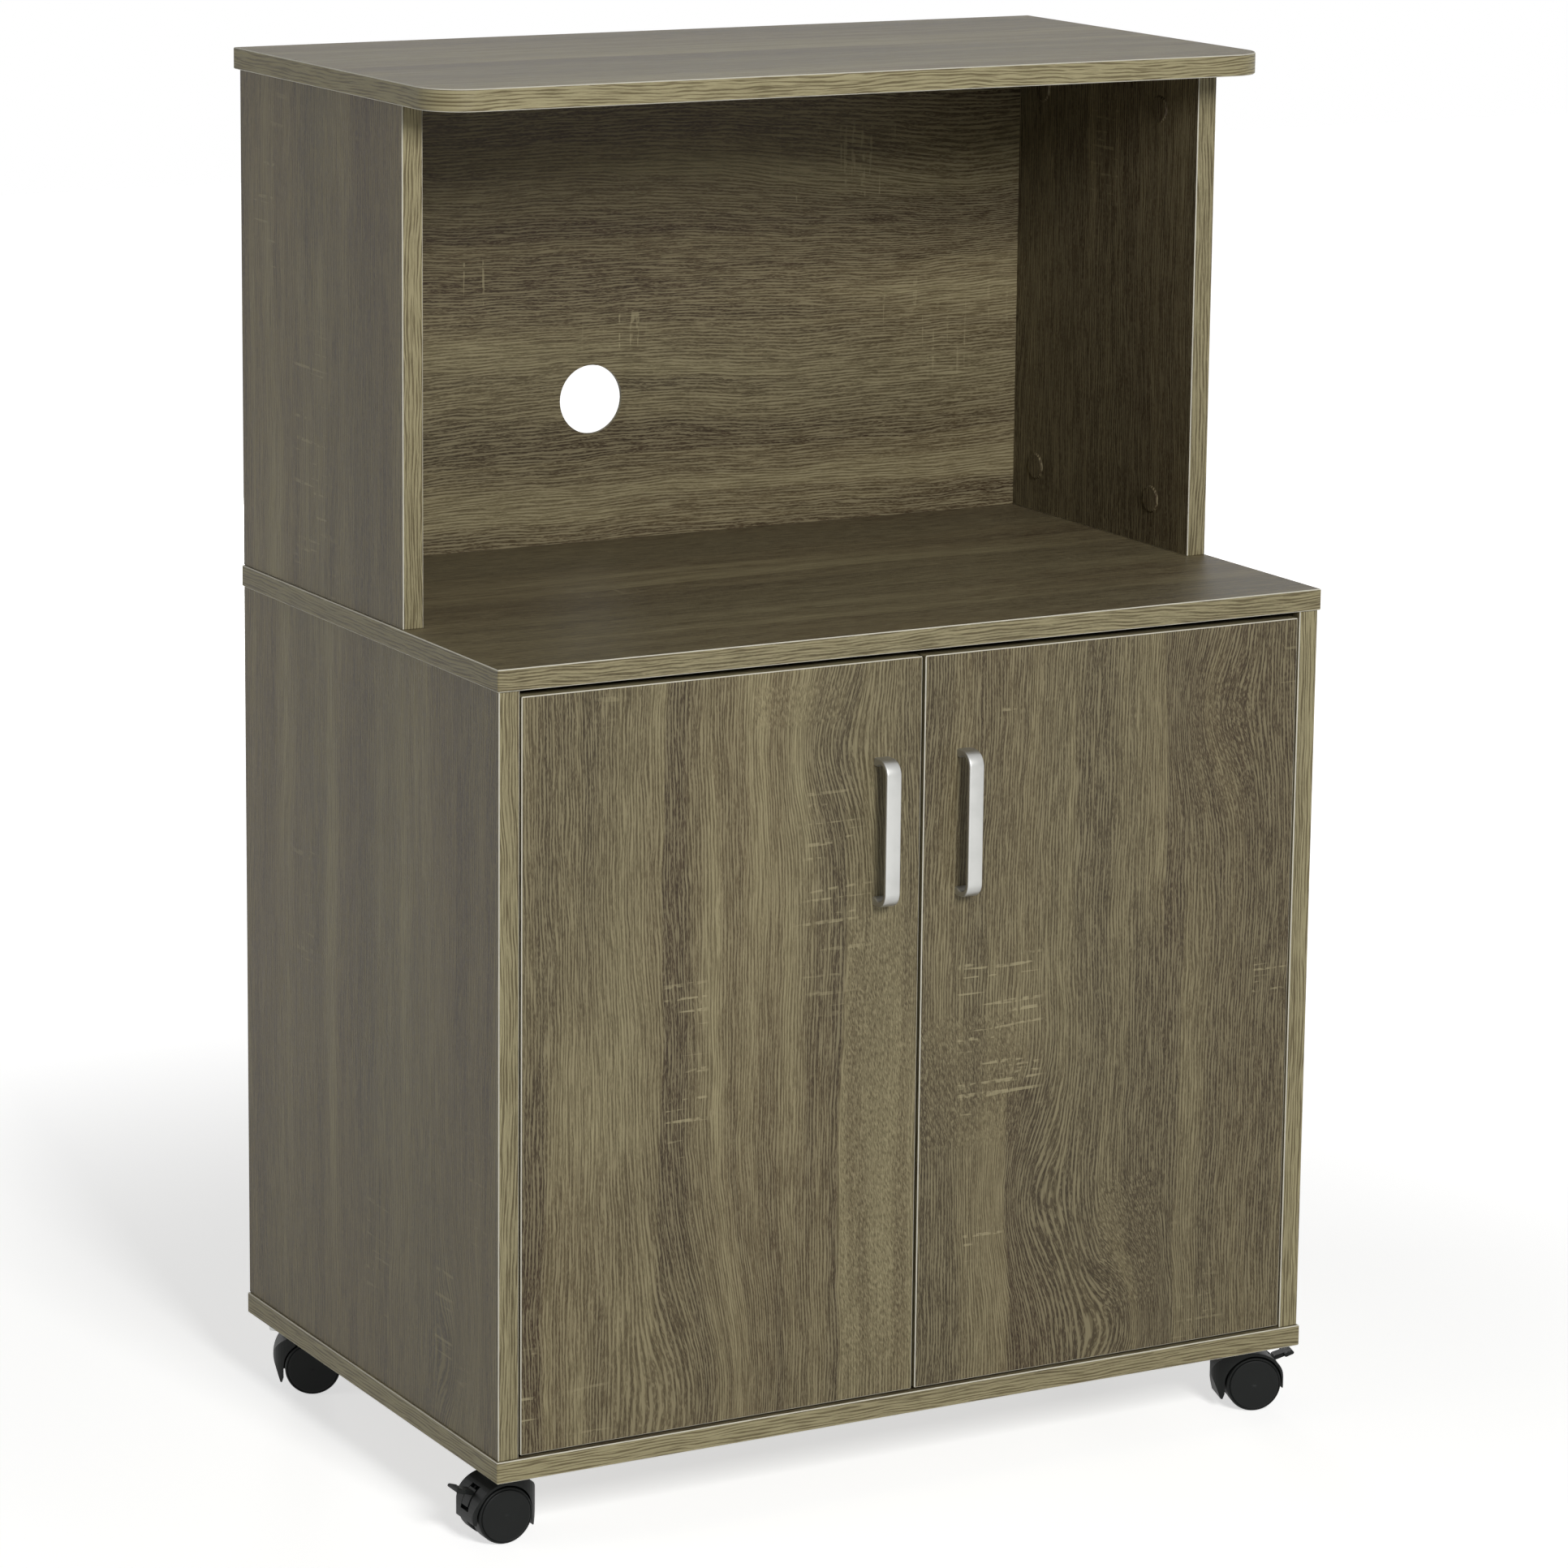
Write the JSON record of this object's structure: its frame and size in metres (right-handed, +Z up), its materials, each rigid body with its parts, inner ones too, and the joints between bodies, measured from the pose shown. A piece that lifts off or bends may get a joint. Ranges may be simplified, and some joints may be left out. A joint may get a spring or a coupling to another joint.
{
  "type": "microwave cart",
  "caption": "Rolling microwave cart: open bay with a cable hole above a worktop, two-door cupboard with a shelf below, bow handles, twin-wheel casters with brakes.",
  "frame": {"origin": "on the floor, under the middle of the cart's bounding box", "axes": "+Z up, the doors face -Y, +X to the right of someone facing the doors"},
  "size_m": [0.668, 0.4264, 0.97],
  "materials": {
    "panels": "wood-grain melamine, satin",
    "back_panels": "thin printed back board, satin",
    "doors": "wood-grain melamine, satin",
    "caps": "wood-coloured plastic caps",
    "handles": "satin nickel",
    "steel": "bright zinc-plated steel",
    "zinc": "nickel-plated",
    "caster_plastic": "black moulded plastic, satin",
    "wheel_plastic": "black moulded plastic, smooth"
  },
  "bodies": {
    "cabinet": {"top_panel": "panels", "upper_side_left": "panels", "upper_side_right": "panels", "upper_back_panel": "back_panels", "worktop": "panels", "lower_side_left": "panels", "lower_side_right": "panels", "lower_back_panel": "back_panels", "bottom_panel": "panels", "shelf": "panels", "shelf_pins": "steel", "cam_locks": "zinc", "cam_bolts": "steel", "cam_caps": "caps", "hinge_arms_left": "zinc", "hinge_arms_right": "zinc", "hinge_plates_left": "zinc", "hinge_plates_right": "zinc", "hinge_pins_left": "steel", "hinge_pins_right": "steel", "caster_screws": "steel", "caster_plate_front_left": "zinc", "caster_plate_front_right": "zinc", "caster_plate_rear_left": "zinc", "caster_plate_rear_right": "zinc"},
    "door_left": {"door_left": "doors", "handle_left": "handles", "handle_screws_left": "steel", "hinge_cups_left": "zinc"},
    "hinge_link_left": {"hinge_links_left": "zinc"},
    "door_right": {"door_right": "doors", "handle_right": "handles", "handle_screws_right": "steel", "hinge_cups_right": "zinc"},
    "hinge_link_right": {"hinge_links_right": "zinc"},
    "swivel_front_left": {"caster_hood_front_left": "caster_plastic", "caster_axle_front_left": "steel"},
    "wheel_front_left_inner": {"wheel_front_left_inner": "wheel_plastic"},
    "wheel_front_left_outer": {"wheel_front_left_outer": "wheel_plastic"},
    "brake_left": {"brake_lever_left": "caster_plastic"},
    "swivel_front_right": {"caster_hood_front_right": "caster_plastic", "caster_axle_front_right": "steel"},
    "wheel_front_right_inner": {"wheel_front_right_inner": "wheel_plastic"},
    "wheel_front_right_outer": {"wheel_front_right_outer": "wheel_plastic"},
    "brake_right": {"brake_lever_right": "caster_plastic"},
    "swivel_rear_left": {"caster_hood_rear_left": "caster_plastic", "caster_axle_rear_left": "steel"},
    "wheel_rear_left_inner": {"wheel_rear_left_inner": "wheel_plastic"},
    "wheel_rear_left_outer": {"wheel_rear_left_outer": "wheel_plastic"},
    "swivel_rear_right": {"caster_hood_rear_right": "caster_plastic", "caster_axle_rear_right": "steel"},
    "wheel_rear_right_inner": {"wheel_rear_right_inner": "wheel_plastic"},
    "wheel_rear_right_outer": {"wheel_rear_right_outer": "wheel_plastic"}
  },
  "joints": [
    {"name": "door_left_hinge", "type": "hinge", "parent": "cabinet", "child": "door_left", "pos_m": [-0.302, -0.19525, 0.32675], "axis": [0, 0, -1], "range_deg": [0, 95]},
    {"name": "hinge_link_left_pivot", "type": "hinge", "parent": "cabinet", "child": "hinge_link_left", "pos_m": [-0.2833, -0.18765, 0.32675], "axis": [0, 0, -1], "range_deg": [0, 110]},
    {"name": "door_right_hinge", "type": "hinge", "parent": "cabinet", "child": "door_right", "pos_m": [0.302, -0.19525, 0.32675], "axis": [0, 0, 1], "range_deg": [0, 95]},
    {"name": "hinge_link_right_pivot", "type": "hinge", "parent": "cabinet", "child": "hinge_link_right", "pos_m": [0.2833, -0.18765, 0.32675], "axis": [0, 0, 1], "range_deg": [0, 110]},
    {"name": "swivel_front_left_turn", "type": "hinge", "parent": "cabinet", "child": "swivel_front_left", "pos_m": [-0.29, -0.15675, 0.048], "axis": [0, 0, 1], "continuous": true},
    {"name": "wheel_front_left_inner_spin", "type": "hinge", "parent": "swivel_front_left", "child": "wheel_front_left_inner", "pos_m": [-0.302, -0.15675, 0.02], "axis": [0, -1, 0], "continuous": true},
    {"name": "wheel_front_left_outer_spin", "type": "hinge", "parent": "swivel_front_left", "child": "wheel_front_left_outer", "pos_m": [-0.302, -0.15675, 0.02], "axis": [0, -1, 0], "continuous": true},
    {"name": "brake_left_lever", "type": "hinge", "parent": "swivel_front_left", "child": "brake_left", "pos_m": [-0.3145, -0.15675, 0.031], "axis": [0, -1, 0], "range_deg": [0, 14]},
    {"name": "swivel_front_right_turn", "type": "hinge", "parent": "cabinet", "child": "swivel_front_right", "pos_m": [0.29, -0.15675, 0.048], "axis": [0, 0, 1], "continuous": true},
    {"name": "wheel_front_right_inner_spin", "type": "hinge", "parent": "swivel_front_right", "child": "wheel_front_right_inner", "pos_m": [0.30141, -0.16047, 0.02], "axis": [0.3103, 0.9506, 0], "continuous": true},
    {"name": "wheel_front_right_outer_spin", "type": "hinge", "parent": "swivel_front_right", "child": "wheel_front_right_outer", "pos_m": [0.30141, -0.16047, 0.02], "axis": [0.3103, 0.9506, 0], "continuous": true},
    {"name": "brake_right_lever", "type": "hinge", "parent": "swivel_front_right", "child": "brake_right", "pos_m": [0.31329, -0.16435, 0.031], "axis": [0.3103, 0.9506, 0], "range_deg": [0, 14]},
    {"name": "swivel_rear_left_turn", "type": "hinge", "parent": "cabinet", "child": "swivel_rear_left", "pos_m": [-0.296, 0.18325, 0.048], "axis": [0, 0, 1], "continuous": true},
    {"name": "wheel_rear_left_inner_spin", "type": "hinge", "parent": "swivel_rear_left", "child": "wheel_rear_left_inner", "pos_m": [-0.28487, 0.17875, 0.02], "axis": [0.3746, 0.9272, 0], "continuous": true},
    {"name": "wheel_rear_left_outer_spin", "type": "hinge", "parent": "swivel_rear_left", "child": "wheel_rear_left_outer", "pos_m": [-0.28487, 0.17875, 0.02], "axis": [0.3746, 0.9272, 0], "continuous": true},
    {"name": "swivel_rear_right_turn", "type": "hinge", "parent": "cabinet", "child": "swivel_rear_right", "pos_m": [0.296, 0.18325, 0.048], "axis": [0, 0, 1], "continuous": true},
    {"name": "wheel_rear_right_inner_spin", "type": "hinge", "parent": "swivel_rear_right", "child": "wheel_rear_right_inner", "pos_m": [0.28441, 0.18636, 0.02], "axis": [-0.2588, -0.9659, 0], "continuous": true},
    {"name": "wheel_rear_right_outer_spin", "type": "hinge", "parent": "swivel_rear_right", "child": "wheel_rear_right_outer", "pos_m": [0.28441, 0.18636, 0.02], "axis": [-0.2588, -0.9659, 0], "continuous": true}
  ],
  "couplings": [
    {"joint": "hinge_link_left_pivot", "follows": "door_left_hinge", "ratio": 1.15},
    {"joint": "hinge_link_right_pivot", "follows": "door_right_hinge", "ratio": 1.15}
  ]
}
